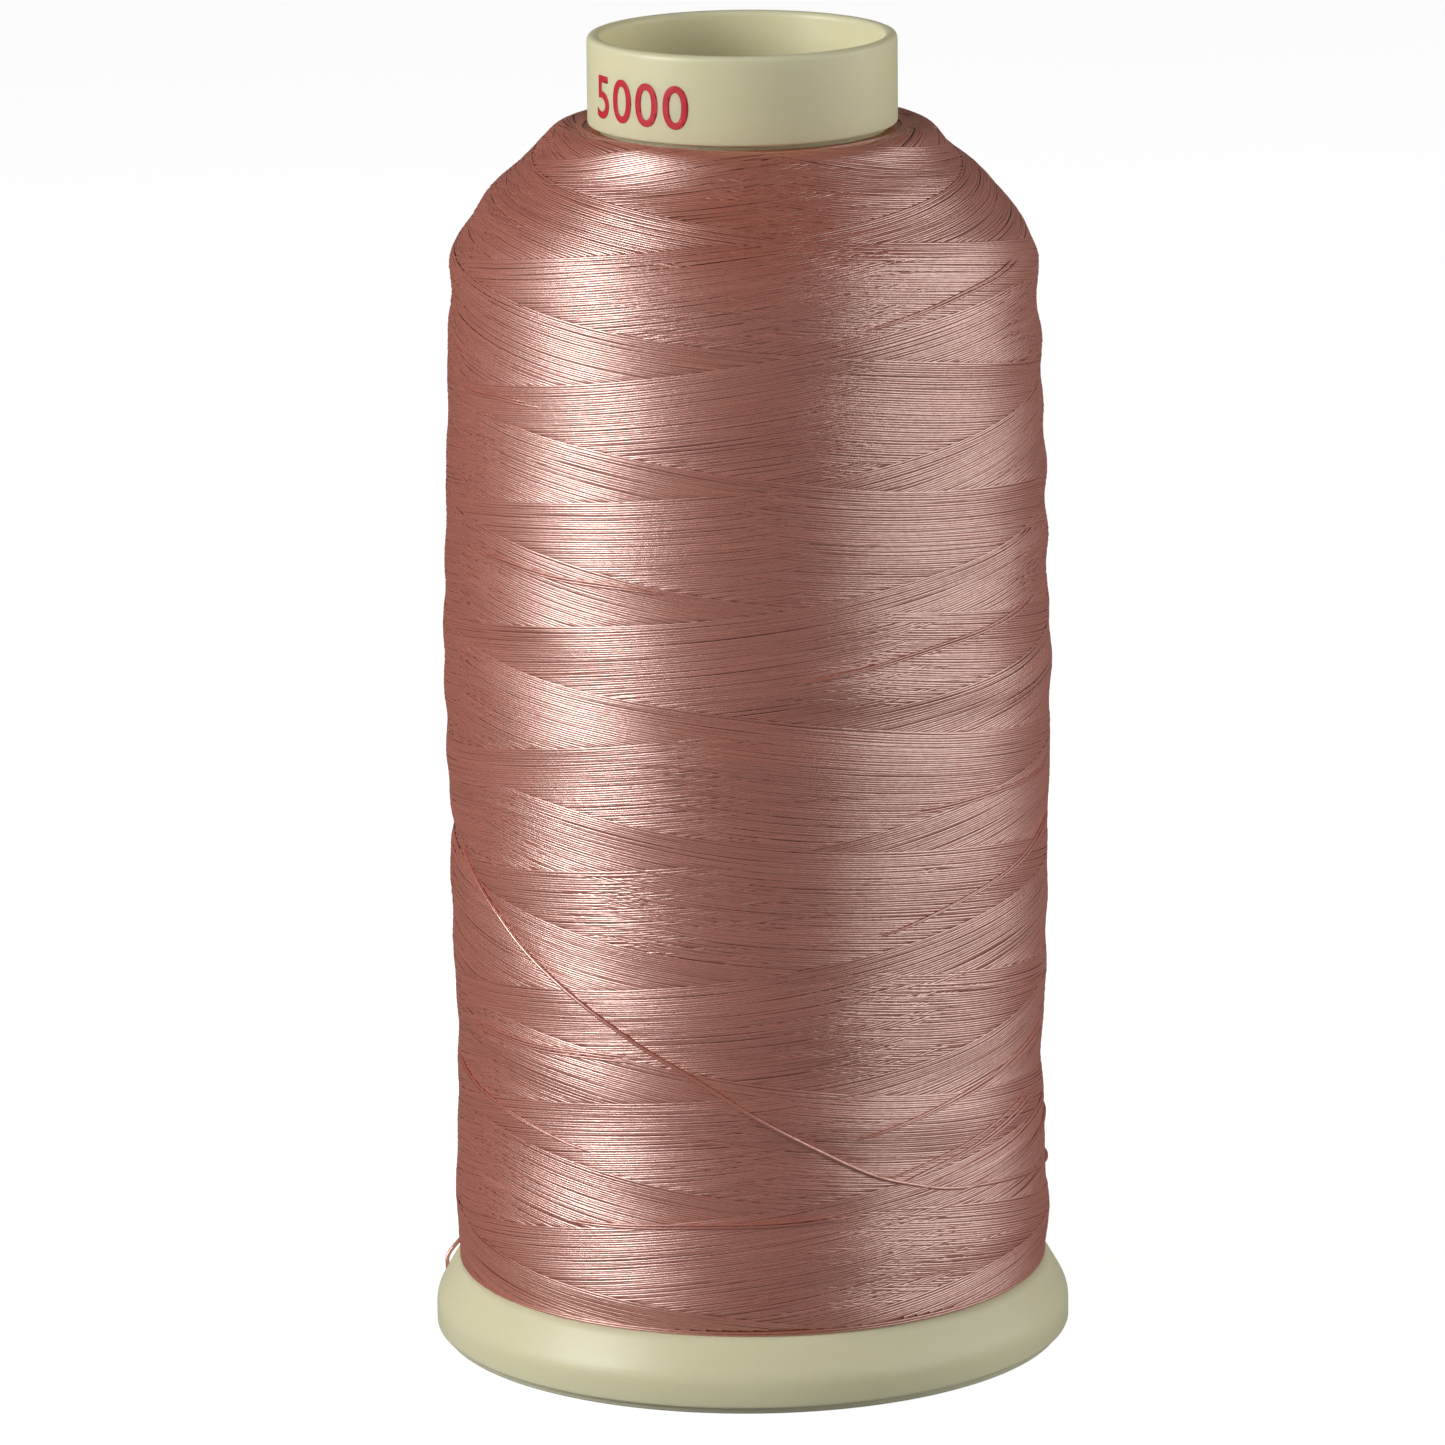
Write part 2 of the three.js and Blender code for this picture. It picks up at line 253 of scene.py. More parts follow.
# %% Floor
FLOOR_RADIUS = 6.0
FLOOR_GLOW = 0.5
GLOW_STRENGTH = 1.78
FLOOR_GAP = 0.03 * MM
bpy.ops.mesh.primitive_circle_add(vertices=96, radius=FLOOR_RADIUS, fill_type="NGON")
floor = bpy.context.object
floor.name = "floor"
floor.location.z = -FLOOR_GAP
board = Recipe("pale_board")
grain = board.noise((0.02, 0.02, 0.02))
camera_ray = board.add("ShaderNodeLightPath", output="Is Camera Ray")
pale = board.mix(grain, shade(0.86, 0.86, 0.86), shade(0.9, 0.9, 0.9))
paint = board.mix(camera_ray, shade(0.3, 0.3, 0.3), pale)
matt = board.add("ShaderNodeBsdfDiffuse", {}, {"Color": paint})
glow = board.add("ShaderNodeEmission", {}, {"Strength": GLOW_STRENGTH})
blend = board.add("ShaderNodeMixShader", {}, {0: camera_ray * FLOOR_GLOW, 1: matt, 2: glow})
board.add("ShaderNodeOutputMaterial", {}, {"Surface": blend})
floor.data.materials.append(board.material)
print("floor", FLOOR_RADIUS, "m across its half")

# %% [markdown]
# ## Ivory plastic
# The tube and base are moulded in one uncoloured plastic that lets a little light in, so its shadows turn
# warm and yellow. The finish is satin: the roughness wanders slowly as moulded parts do, fine turning
# marks run round the wall, and the colour is slightly deeper in patches.

# %% Ivory plastic
def ivory_plastic(name):
    ivory = Recipe(name)
    patches = ivory.noise((0.06, 0.06, 0.1), 3.0)
    marks = ivory.noise((0.05, 0.05, 6.0), 2.0)
    grain = ivory.noise((5.0, 5.0, 5.0), 3.0)
    colour = ivory.mix(patches, shade(0.76, 0.71, 0.455), shade(0.82, 0.775, 0.52))
    rough = 0.30 + 0.14 * patches + 0.06 * marks
    relief = 0.5 * marks + grain
    return ivory.finish(
        Base_Color=colour,
        Roughness=rough,
        Normal=ivory.bump(relief, 0.02 * MM, 0.5),
        IOR=1.49,
        Subsurface_Weight=0.4,
        Subsurface_Radius=(1.0, 0.8, 0.45),
        Subsurface_Scale=3.0 * MM,
    )


plastic = ivory_plastic("ivory_plastic")
print("material", plastic.name)

# %% [markdown]
# ## Rayon thread
# Each thread is a bundle of fine shiny filaments. It reflects like a tinted mirror along its side, so the
# shader is partly metallic with the thread's own colour, over a dyed core. Noise drawn out along the lay
# gives each stretch its own tint and gloss, and a fine bump breaks the glints up where filaments twist.

# %% Rayon thread
def rayon(name):
    thread = Recipe(name)
    lay = thread.add("ShaderNodeAttribute", {"attribute_name": "lay"}, output="Fac")
    streaks = thread.noise((0.12, 0.12, 3.2), 2.0)
    twist = thread.noise((1.9, 1.9, 2.6), 3.0, 0.6)
    glints = thread.ramp(twist, [(0.35, 0.0), (0.7, 1.0)])
    tone = 0.5 * streaks + 0.5 * lay
    relief = thread.bump(twist, 0.06 * MM, 0.5)
    dye = thread.add(
        "ShaderNodeBsdfPrincipled",
        {},
        {
            "Base Color": thread.mix(tone, shade(0.39, 0.074, 0.034), shade(0.55, 0.124, 0.065)),
            "Roughness": 0.7 - 0.1 * glints,
            "Normal": relief,
        },
    )
    sheen = thread.add(
        "ShaderNodeBsdfPrincipled",
        {},
        {
            "Base Color": thread.mix(tone, shade(0.87, 0.665, 0.605), shade(0.98, 0.80, 0.745)),
            "Roughness": 0.37 - 0.06 * glints + 0.06 * streaks,
            "Metallic": 1.0,
            "Normal": relief,
        },
    )
    both = thread.add("ShaderNodeMixShader", {}, {0: 0.33 + 0.14 * glints, 1: dye, 2: sheen})
    thread.add("ShaderNodeOutputMaterial", {}, {"Surface": both})
    return thread.material


rayon_thread = rayon("rayon_thread")
print("material", rayon_thread.name)

# %% [markdown]
# ## Meshes by hand
# Three helpers make every piece: one builds a mesh object from arrays of corners and faces in millimetres,
# one eases the corners of an outline, and one turns a closed outline about the spool's axis.

# %% Mesh helpers
TURNS = 192
EASE_STEPS = 5


def piece(name, corners, faces, material, sharp=None):
    """A mesh object from corners in millimetres. Edges steeper than `sharp` degrees stay crisp."""
    mesh = bpy.data.meshes.new(name)
    mesh.from_pydata((np.asarray(corners) * MM).tolist(), [], np.asarray(faces).tolist())
    mesh.polygons.foreach_set("use_smooth", np.ones(len(mesh.polygons), bool))
    if sharp is not None:
        mesh.set_sharp_from_angle(angle=math.radians(sharp))
    mesh.materials.append(material)
    made = bpy.data.objects.new(name, mesh)
    bpy.context.scene.collection.objects.link(made)
    print(name, len(mesh.vertices), "corners", len(mesh.polygons), "faces")
    return made


def eased(outline):
    """A closed outline of (radius, height, ease) corners, each rounded over `ease` millimetres."""
    points = []
    for index, (radius, height, ease) in enumerate(outline):
        corner = np.array([radius, height])
        if ease == 0:
            points.append(corner)
            continue
        before = np.array(outline[index - 1][:2]) - corner
        after = np.array(outline[(index + 1) % len(outline)][:2]) - corner
        start = corner + before / np.linalg.norm(before) * ease
        end = corner + after / np.linalg.norm(after) * ease
        for share in np.linspace(0, 1, EASE_STEPS + 1):
            points.append((1 - share) ** 2 * start + 2 * share * (1 - share) * corner + share**2 * end)
    return np.array(points)


def ring_faces(around, along, closed=True):
    """Faces of a grid that closes on itself round the axis, and along the outline if `closed`."""
    turn, step = np.meshgrid(np.arange(around), np.arange(along if closed else along - 1), indexing="ij")
    next_turn, next_step = (turn + 1) % around, (step + 1) % along
    corners = [turn * along + step, next_turn * along + step]
    corners += [next_turn * along + next_step, turn * along + next_step]
    return np.stack(corners, -1).reshape(-1, 4)


def swept(outline, angles):
    """Corners of an outline of (radius, height) turned to each angle, counted from the front."""
    radius, height = outline[:, 0], outline[:, 1]
    across = np.outer(np.sin(angles), radius)
    deep = -np.outer(np.cos(angles), radius)
    return np.stack([across, deep, np.broadcast_to(height, across.shape)], -1).reshape(-1, 3)


def turned(name, outline, material, sharp=35):
    """A closed ring turned about the axis. The outline runs anticlockwise."""
    points = eased(outline)
    angles = np.linspace(0, 2 * np.pi, TURNS, endpoint=False)
    return piece(name, swept(points, angles), ring_faces(TURNS, len(points)), material, sharp)


def reach(node, low, high):
    """The greatest radius of a CAD node between two heights, in millimetres."""
    places = np.array([corner.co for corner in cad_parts[node].data.vertices]) / MM
    level = (places[:, 2] > low - 0.01) & (places[:, 2] < high + 0.01)
    return float(np.hypot(places[level, 0], places[level, 1]).max())


def level_of(node, index):
    """The lowest (0) or highest (1) height of a CAD node, in millimetres."""
    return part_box(node)[index].z / MM


# %% [markdown]
# ## Winding tube
# The tube is moulded in one piece: a smooth collar with a round lip, a slightly narrower neck hidden under
# the thread, a taper, a ring that stands on the flange, and a foot with a snap bead inside. It is turned
# from one outline, as the mould is, with its corners eased by the size that plastic takes.

# %% Winding tube
WALL = 1.2
top = level_of("winding_tube", 1)
foot_end = level_of("winding_tube", 0)
wound_top = level_of("thread_package", 1)
flange_top = level_of("base_flange", 1)
collar = reach("winding_tube", top - 4, top)
collar_bottom = wound_top + 0.3
neck = collar - 1.0
foot = 13.9
seat = reach("winding_tube", foot_end, 20)
seat_top = flange_top + 1.2
bore = foot - WALL
bead = bore - 0.6

tube = turned(
    "tube_shell",
    [
        (bore, foot_end, 0.2),
        (foot, foot_end, 0.3),
        (foot, flange_top, 0),
        (seat, flange_top, 0.1),
        (seat, seat_top, 0.3),
        (foot, seat_top, 0.3),
        (neck, collar_bottom, 0),
        (collar, collar_bottom, 0.3),
        (collar, top, 0.58),
        (collar - WALL, top, 0.58),
        (collar - WALL, collar_bottom, 0.5),
        (neck - WALL, collar_bottom - WALL, 0.5),
        (bore, seat_top, 0.5),
        (bore, foot_end + 1.8, 0.1),
        (bead, foot_end + 1.6, 0.1),
        (bead, foot_end + 1.2, 0.1),
        (bore, foot_end + 1.0, 0.1),
    ],
    plastic,
)
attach(tube, "spool")
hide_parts("winding_tube")

# %% [markdown]
# ## Joining and cutting
# Ribs, gussets and the groove for the thread's end are simple prisms. Boolean modifiers join them to the
# turned shells or cut them out, and the result is applied, so that each moulding is one mesh.

# %% Boolean helper
def combined(body, tools, operation):
    """Joins the tools to a body or cuts them out of it, and applies the result."""
    for tool in tools:
        modifier = body.modifiers.new(tool.name, "BOOLEAN")
        modifier.operation = operation
        modifier.object = tool
        modifier.solver = "EXACT"
    evaluated = body.evaluated_get(bpy.context.evaluated_depsgraph_get())
    result = bpy.data.meshes.new_from_object(evaluated)
    body.modifiers.clear()
    body.data = result
    result.polygons.foreach_set("use_smooth", np.ones(len(result.polygons), bool))
    result.set_sharp_from_angle(angle=math.radians(35))
    for tool in tools:
        bpy.data.objects.remove(tool)
    print(body.name, "now", len(result.polygons), "faces")


def prism(name, side, width, degrees):
    """A closed side view of (radius, height) points, `width` thick, turned to an angle from the front."""
    count = len(side)
    corners = [(half * width / 2, -radius, height) for half in (-1, 1) for radius, height in side]
    walls = [[count + i, count + (i + 1) % count, (i + 1) % count, i] for i in range(count)]
    mesh = bpy.data.meshes.new(name)
    ends = [list(range(count)), list(range(count, 2 * count))[::-1]]
    mesh.from_pydata([tuple(c * MM for c in corner) for corner in corners], [], walls + ends)
    mesh.materials.append(plastic)
    mesh.transform(Matrix.Rotation(math.radians(degrees), 4, "Z"))
    made = bpy.data.objects.new(name, mesh)
    bpy.context.scene.collection.objects.link(made)
    return made


def block(name, inner, outer, low, high, width, degrees):
    side = [(inner, low), (outer, low), (outer, high), (inner, high)]
    return prism(name, side, width, degrees)


def evenly(count):
    return [(index + 0.5) * 360 / count + 90 for index in range(count)]


# %% [markdown]
# ## Base flange
# The wide foot is a thin shell: an upright rim, a shallow bevel and a flat top that the thread leans on,
# with a boss round the tube's foot and ribs inside. A narrow groove in the rim, on the left, leads the
# thread's end down to the lock plate.

# %% Base flange
SHELL = 1.5
RIM_TOP = 3.3
BEVEL = 2.0
LIP = 0.6
PLATE = 1.6
CATCH_ANGLE = -96
rim = reach("base_flange", 0, RIM_TOP)
boss_bore = foot + 0.3
flange = turned(
    "flange_shell",
    [
        (rim - SHELL, LIP, 0.15),
        (rim, LIP, 0.35),
        (rim, RIM_TOP, 0.9),
        (rim - BEVEL, flange_top, 0.8),
        (boss_bore, flange_top, 0.2),
        (boss_bore, foot_end, 0.1),
        (boss_bore + SHELL, foot_end, 0.2),
        (boss_bore + SHELL, flange_top - SHELL, 0.5),
        (rim - SHELL - BEVEL, flange_top - SHELL, 0.6),
        (rim - SHELL, RIM_TOP, 0.6),
    ],
    plastic,
)
rib_low = PLATE + 1.1
rib_high = flange_top - SHELL / 2
ribs = [
    block("rib", boss_bore + SHELL / 2, rim - SHELL - BEVEL / 2, rib_low, rib_high, 1.0, degrees)
    for degrees in evenly(12)
]
combined(flange, ribs, "UNION")
groove = block("groove", rim - 1.0, rim + 1, 0, flange_top + 1, 1.0, CATCH_ANGLE)
slot = block("slot", rim - SHELL - 1, rim + 1, 0, PLATE + 1.1, 1.0, CATCH_ANGLE)
combined(flange, [groove, slot], "DIFFERENCE")
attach(flange, "spool")
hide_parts("base_flange")

# %% [markdown]
# ## Lock plate
# Under the flange snaps a plate with a hub for the thread stand's pin, four gussets, and six springy
# fingers whose barbs catch behind the bead in the tube's foot. Pulled down a little, it frees the end of
# the thread. The fingers are short stretches of one turned ring, with the slots cut out of it.

# %% Lock plate
HUB_BORE = 5.0
HUB = 6.4
GUSSET_RISE = 7.5
RECESS = 0.4
BARB = 0.7
plate_lip = reach("lock_plate", 0, LIP)
finger = bead - 0.3
finger_inside = finger - 0.8
barb_low = foot_end + 1.8 + 0.3 + 1.5
barb_high = barb_low + 0.5
plate = turned(
    "plate_shell",
    [
        (HUB_BORE, 0, 0.2),
        (HUB_BORE + 2, 0, 0.1),
        (HUB_BORE + 2, RECESS, 0.05),
        (plate_lip - 5, RECESS, 0.05),
        (plate_lip - 5, 0, 0.1),
        (plate_lip, 0, 0.25),
        (plate_lip, LIP, 0.1),
        (rim - SHELL - 0.3, LIP, 0),
        (rim - SHELL - 0.3, PLATE, 0.2),
        (HUB, PLATE, 0.3),
        (HUB, level_of("lock_plate", 1), 0.4),
        (HUB_BORE, level_of("lock_plate", 1), 0.4),
    ],
    plastic,
)
fingers = turned(
    "fingers",
    [
        (finger_inside, PLATE / 2, 0),
        (finger, PLATE / 2, 0),
        (finger, barb_low, 0.1),
        (finger + BARB, barb_low, 0.1),
        (finger + BARB, barb_high, 0.1),
        (finger, barb_high + 0.9, 0.1),
        (finger_inside, barb_high + 0.9, 0.2),
    ],
    plastic,
)
gaps = [
    block("gap", finger_inside - 1, finger + BARB + 1, PLATE, barb_high + 2, 2.5, degrees)
    for degrees in evenly(6)
]
combined(fingers, gaps, "DIFFERENCE")
web_side = [(HUB - 0.7, PLATE / 2), (finger_inside - 1.2, PLATE / 2), (finger_inside - 1.2, PLATE)]
web_side += [(HUB, PLATE + GUSSET_RISE), (HUB - 0.7, PLATE + GUSSET_RISE)]
gussets = [prism("gusset", web_side, 1.4, degrees) for degrees in evenly(4)]
combined(plate, [fingers] + gussets, "UNION")
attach(plate, "lock_plate")
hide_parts("lock_plate")

# %% [markdown]
# ## Paper label
# The ring of paper stuck in the plate's recess keeps its CAD mesh. The paper is uncoated: matt, a little
# uneven in tone, with short fibres that run every way.

# %% Paper label
paper = Recipe("label_paper")
fibres = paper.noise((2.2, 2.2, 2.2), 6.0, 0.7)
cloud = paper.noise((0.12, 0.12, 0.12), 3.0)
label_paper = paper.finish(
    Base_Color=paper.mix(0.5 * fibres + 0.5 * cloud, shade(0.74, 0.72, 0.65), shade(0.86, 0.85, 0.8)),
    Roughness=0.8 + 0.15 * fibres,
    Normal=paper.bump(fibres, 0.03 * MM, 0.6),
)
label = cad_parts["paper_label"]
label.data.materials.clear()
label.data.materials.append(label_paper)
print("label keeps its CAD mesh")

# %% [markdown]
# ## The surface that the thread makes
# Every strand lies on one surface, so that surface comes first: the outline of the CAD winding, measured
# along its own length from the base up, with small swells all round and the dent where the loose last wrap
# bites in at the left. `on_surface` turns an angle, a length up the outline and a height above it into a
# place in millimetres, and all the thread is laid with it.

# %% Surface of the winding
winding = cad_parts["thread_package"]
places = np.array([corner.co for corner in winding.data.vertices]) / MM
radii = np.hypot(places[:, 0], places[:, 1])
levels = np.unique(places[:, 2].round(3))
widest = np.array([radii[abs(places[:, 2] - level) < 0.002].max() for level in levels])
outer = np.append(widest[:-1] > 0.8 * widest[1:], True)
levels, widest = levels[outer], widest[outer]

MERIDIAN_STEP = 0.1
lengths = np.append(0, np.cumsum(np.hypot(np.diff(widest), np.diff(levels))))
LENGTH = lengths[-1]
along = np.arange(-3, LENGTH + 3, MERIDIAN_STEP)


def extended(values):
    """A profile value along the outline, carried straight on past both ends, then smoothed."""
    straight = np.interp(along, lengths, values)
    first = (values[1] - values[0]) / (lengths[1] - lengths[0])
    last = (values[-1] - values[-2]) / (lengths[-1] - lengths[-2])
    straight += np.where(along < 0, along * first, 0) + np.where(along > LENGTH, (along - LENGTH) * last, 0)
    window = np.hanning(17)
    padded = np.pad(straight, 8, "reflect", reflect_type="odd")
    return np.convolve(padded, window / window.sum(), "valid")


profile_radius = extended(widest)
profile_height = extended(levels)
slope_radius = np.gradient(profile_radius, MERIDIAN_STEP)
slope_height = np.gradient(profile_height, MERIDIAN_STEP)


SLOPE_START = float(along[(slope_height < 0.9) & (along > LENGTH / 2)][0])


def length_at(height):
    """How far up the outline a height in millimetres lies."""
    return np.interp(height, profile_height, along)


WAVES = np.random.default_rng(5)
swell_rounds = WAVES.integers(1, 5, 14)
swell_rates = WAVES.uniform(0.22, 1.1, 14)
swell_starts = WAVES.uniform(0, 2 * np.pi, 14)
SWELL = 0.035
DENT = 1.45
FURROW = 0.12
FULLER_SLOPE = 0.45
FULLER_TOP = 0.8
LOOSE_WRAP = [(-124, 51.4), (-110, 50.2), (-96, 48.9), (-84, 47.6), (-72, 46.2), (-57.3, 43.1)]
LOOSE_WRAP += [(-48, 40.2), (-37.7, 37.6), (-28.8, 35.2), (-20.7, 32.9), (-11.1, 30.6), (1.8, 26.7)]
LOOSE_WRAP += [(16.8, 22.6), (25, 20.6)]
wrap_turns = np.radians([turn for turn, _ in LOOSE_WRAP])
wrap_lengths = length_at(np.array([height for _, height in LOOSE_WRAP]))


def relief(turn, length):
    """Height of the swells, the loose wrap's dent and the fuller shoulder, in millimetres."""
    lumps = 0
    for rounds, rate, start in zip(swell_rounds, swell_rates, swell_starts):
        lumps = lumps + SWELL * np.sin(rounds * turn + rate * length + start)
    across = length - np.interp(turn, wrap_turns, wrap_lengths)
    bite = np.exp(-(((turn + 1.62) / 0.42) ** 2))
    present = (turn > wrap_turns[0]) & (turn < wrap_turns[-1])
    dent = -DENT * bite * np.exp(-((across / 1.5) ** 2))
    furrow = -FURROW * np.exp(-((across / 0.45) ** 2)) * present
    near_collar = np.exp(-(((length - LENGTH + 2.3) / 1.9) ** 2))
    slope = np.clip((length - SLOPE_START) / 2.5, 0, 1)
    crown = (FULLER_SLOPE * slope + FULLER_TOP * near_collar) * np.clip((LENGTH - length) / 1.3, 0, 1)
    return lumps + dent + furrow + crown


def on_surface(turn, length, lift):
    """Corners for arrays of angle from the front, length up the outline and height above it."""
    turn, length, lift = np.broadcast_arrays(turn, length, lift)
    lean_radius = np.interp(length, along, slope_height)
    lean_height = -np.interp(length, along, slope_radius)
    raised = lift + relief((turn + np.pi) % (2 * np.pi) - np.pi, length)
    radius = np.interp(length, along, profile_radius) + raised * lean_radius
    height = np.interp(length, along, profile_height) + raised * lean_height
    return np.stack([radius * np.sin(turn), -radius * np.cos(turn), height], -1)


print("outline", round(float(LENGTH), 1), "mm long, widest", round(float(widest.max()), 1), "mm")

# %% [markdown]
# ## Two families of strands
# A winder lays the thread up the tube in one helix and down in the other, a strand's width further along
# each time, so ribbons of side-by-side strands cross in a net of long diamonds. Where two ribbons cross,
# the strand laid last is on top. Both ribbons grow strand by strand, so each strand's place in its ribbon
# is its time, and the later time wins. That is all the pattern needs. Each strand is a half tube that dives
# under where it loses, and faces that nobody could see are left out.

# %% Noise along endless helices
STEPS = 120
STRAND = 0.2
ROWS_A_TURN = 110
RIBBON_ROWS = 55
RIBBONS_A_TURN = ROWS_A_TURN // RIBBON_ROWS
RIBBON = STRAND * RIBBON_ROWS
CLIMB = STRAND * ROWS_A_TURN / (2 * np.pi)
TURNS_KEPT = 8
PHASES = {1: 0.99, -1: 0.88}
EDGE = 0.16
DEPTH = 0.11
RIBBON_RELIEF = 0.035


def helix_noise(seed, count, smooth):
    """Seeded noise of unit size along `count` helices, smooth over that many steps."""
    random = np.random.default_rng(seed)
    raw = random.standard_normal((count, (2 * TURNS_KEPT + 1) * STEPS + 1))
    window = np.hanning(smooth + 2)[1:-1]
    window = window / np.sqrt((window**2).sum())
    return np.stack([np.convolve(row, window, "same") for row in raw])


def follow(noise, sign, index, a_turn, column):
    """The noise of helix number `index`, at a column of the turn that it is in."""
    turn = sign * (index // a_turn) + TURNS_KEPT
    step = np.clip(turn * STEPS + column, 0, noise.shape[1] - 1)
    return noise[index % a_turn, step]


bias = {sign: 0.14 * helix_noise(20 + sign, RIBBONS_A_TURN, 40) for sign in (1, -1)}
rag_random = np.random.default_rng(31)
rag_rows = int(LENGTH / STRAND) + 200
rag = rag_random.standard_normal((rag_rows, STEPS))
spread = ((-2, 0.3), (-1, 0.6), (0, 0.8), (1, 0.6), (2, 0.3))
rag = sum(np.roll(rag, shift, 1) * share for shift, share in spread)
RAGGED = 0.10


def times(column, length):
    """When each family's strand at a place was laid: its place in its ribbon and the ribbon's bias."""
    turn = -np.pi + 2 * np.pi * column / STEPS
    found = {}
    for sign in (1, -1):
        place = (length - sign * CLIMB * turn) / RIBBON + PHASES[sign]
        index = np.floor(place).astype(int)
        found[sign] = (place - index, follow(bias[sign], sign, index, RIBBONS_A_TURN, column))
    return found


def on_top(sign, column, length):
    """How far a family is on top, 0 to 1, and its strands' place in their ribbon."""
    found = times(column, length)
    (mine, my_bias), (other, other_bias) = found[sign], found[-sign]
    row = np.clip((length / STRAND).astype(int) + 90, 0, rag_rows - 1)
    lead = mine + my_bias - other - other_bias + sign * RAGGED * rag[row, column % STEPS]
    share = np.clip(lead / EDGE / 2 + 0.5, 0, 1)
    return share * share * (3 - 2 * share), mine


print("ribbons", round(RIBBON, 2), "mm wide, strands tilt", round(math.degrees(math.atan(CLIMB / 27)), 1))

# %% [markdown]
# ### Laying every strand
# All strands of a family are one grid: a row for each strand, a column for each step round the spool, and
# four corners across the strand's half-round section. Where the family loses, the grid sinks. Faces that
# sink out of sight are dropped, and the rest is shared out over four pieces from the base up, so that no
# mesh grows too heavy. Each point also keeps its strand's own tint, and a flat place for baked textures.

# %% Strands of both families
SECTION = np.radians([-76, -28, 28, 76])
HALF = 0.114
CROWN = 0.055
WANDER = 0.03


def strand_grid(sign):
    """Corners, faces, texture places and lay of one family, all rows from the base to the top."""
    rows = np.arange(-ROWS_A_TURN // 2 - 4, int(LENGTH / STRAND) + ROWS_A_TURN // 2 + 4)
    row, column = np.meshgrid(rows, np.arange(STEPS + 1), indexing="ij")
    turn = -np.pi + 2 * np.pi * column / STEPS
    length = row * STRAND + sign * CLIMB * turn
    share, place = on_top(sign, column, length)
    lateral = WANDER * follow(helix_noise(40 + sign, ROWS_A_TURN, 14), sign, row, ROWS_A_TURN, column)
    bob = 0.010 * follow(helix_noise(50 + sign, ROWS_A_TURN, 6), sign, row, ROWS_A_TURN, column)
    slow = 0.22 * np.sin(2 * turn + length / 7.0) + 0.16 * np.sin(3 * turn - length / 4.3 + 2)
    lift = (share - 1) * DEPTH + RIBBON_RELIEF * place + bob
    middle = (length + lateral + slow)[..., None] + HALF * np.sin(SECTION)
    raised = lift[..., None] + CROWN * np.cos(SECTION)
    corners = on_surface(turn[..., None], middle, raised)
    lay = follow(helix_noise(60 + sign, ROWS_A_TURN, 30), sign, row, ROWS_A_TURN, column)
    sides = len(SECTION)
    start = ((row[:-1, :-1] - rows[0]) * (STEPS + 1) + column[:-1, :-1])[..., None] * sides
    start = start + np.arange(sides - 1)
    faces = np.stack([start, start + sides, start + sides + 1, start + 1], -1)
    seen = np.maximum(share[:-1, :-1], share[:-1, 1:]) > 0.03
    inside = (length[:-1, :-1] > 0.25) & (length[:-1, 1:] > 0.25)
    inside &= (length[:-1, :-1] < LENGTH - 0.1) & (length[:-1, 1:] < LENGTH - 0.1)
    keep = seen & inside
    across = np.broadcast_to((turn[..., None] + np.pi) / (2 * np.pi), middle.shape)
    lays = np.broadcast_to(0.5 + 0.22 * lay[..., None], middle.shape)
    start_length = length[:-1, :-1]
    return corners.reshape(-1, 3), faces, keep, start_length, across.ravel(), middle.ravel(), lays.ravel()


# %% [markdown]
# ### Four winding bands
# The grids are shared out by height. Each band takes the faces that start in its stretch, both families at
# once, and only the corners that those faces use.

# %% Winding bands
BANDS = 4
families = {sign: strand_grid(sign) for sign in (1, -1)}


def mark(made, lay, across, up):
    """Stores the lay's tint, and a flat layout of the piece for baked textures, on a strand mesh."""
    made.data.attributes.new("lay", "FLOAT", "POINT").data.foreach_set("value", lay.astype(np.float32))
    corner = np.zeros(len(made.data.loops), np.int32)
    made.data.loops.foreach_get("vertex_index", corner)
    layout = made.data.uv_layers.new(name="OFBake")
    layout.data.foreach_set("uv", np.stack([across[corner], up[corner]], -1).astype(np.float32).ravel())


for band in range(BANDS):
    low, high = LENGTH * band / BANDS, LENGTH * (band + 1) / BANDS
    corners, faces, lays, acrosses, ups = [], [], [], [], []
    used_before = 0
    for half, sign in enumerate((1, -1)):
        all_corners, all_faces, keep, length, across, middle, lay = families[sign]
        chosen = all_faces[keep & (length >= low) & (length < high)].reshape(-1, 4)
        used, renumbered = np.unique(chosen, return_inverse=True)
        corners.append(all_corners[used])
        faces.append(renumbered.reshape(-1, 4) + used_before)
        used_before += len(used)
        lays.append(lay[used])
        acrosses.append(across[used])
        room = (middle[used] - low + 13) / (high - low + 26)
        ups.append((np.clip(room, 0, 1) + half) / 2)
    made = piece(f"winding_band_{band + 1}", np.concatenate(corners), np.concatenate(faces), rayon_thread)
    mark(made, np.concatenate(lays), np.concatenate(acrosses), np.concatenate(ups))
    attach(made, "spool")
    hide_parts("thread_package")

# %% [markdown]
# ## Inner layers
# Between strands the layers below show as a darker ground. One closed ring stands for them, a little under
# the strands, with the same swells and dent, and it closes round the tube.

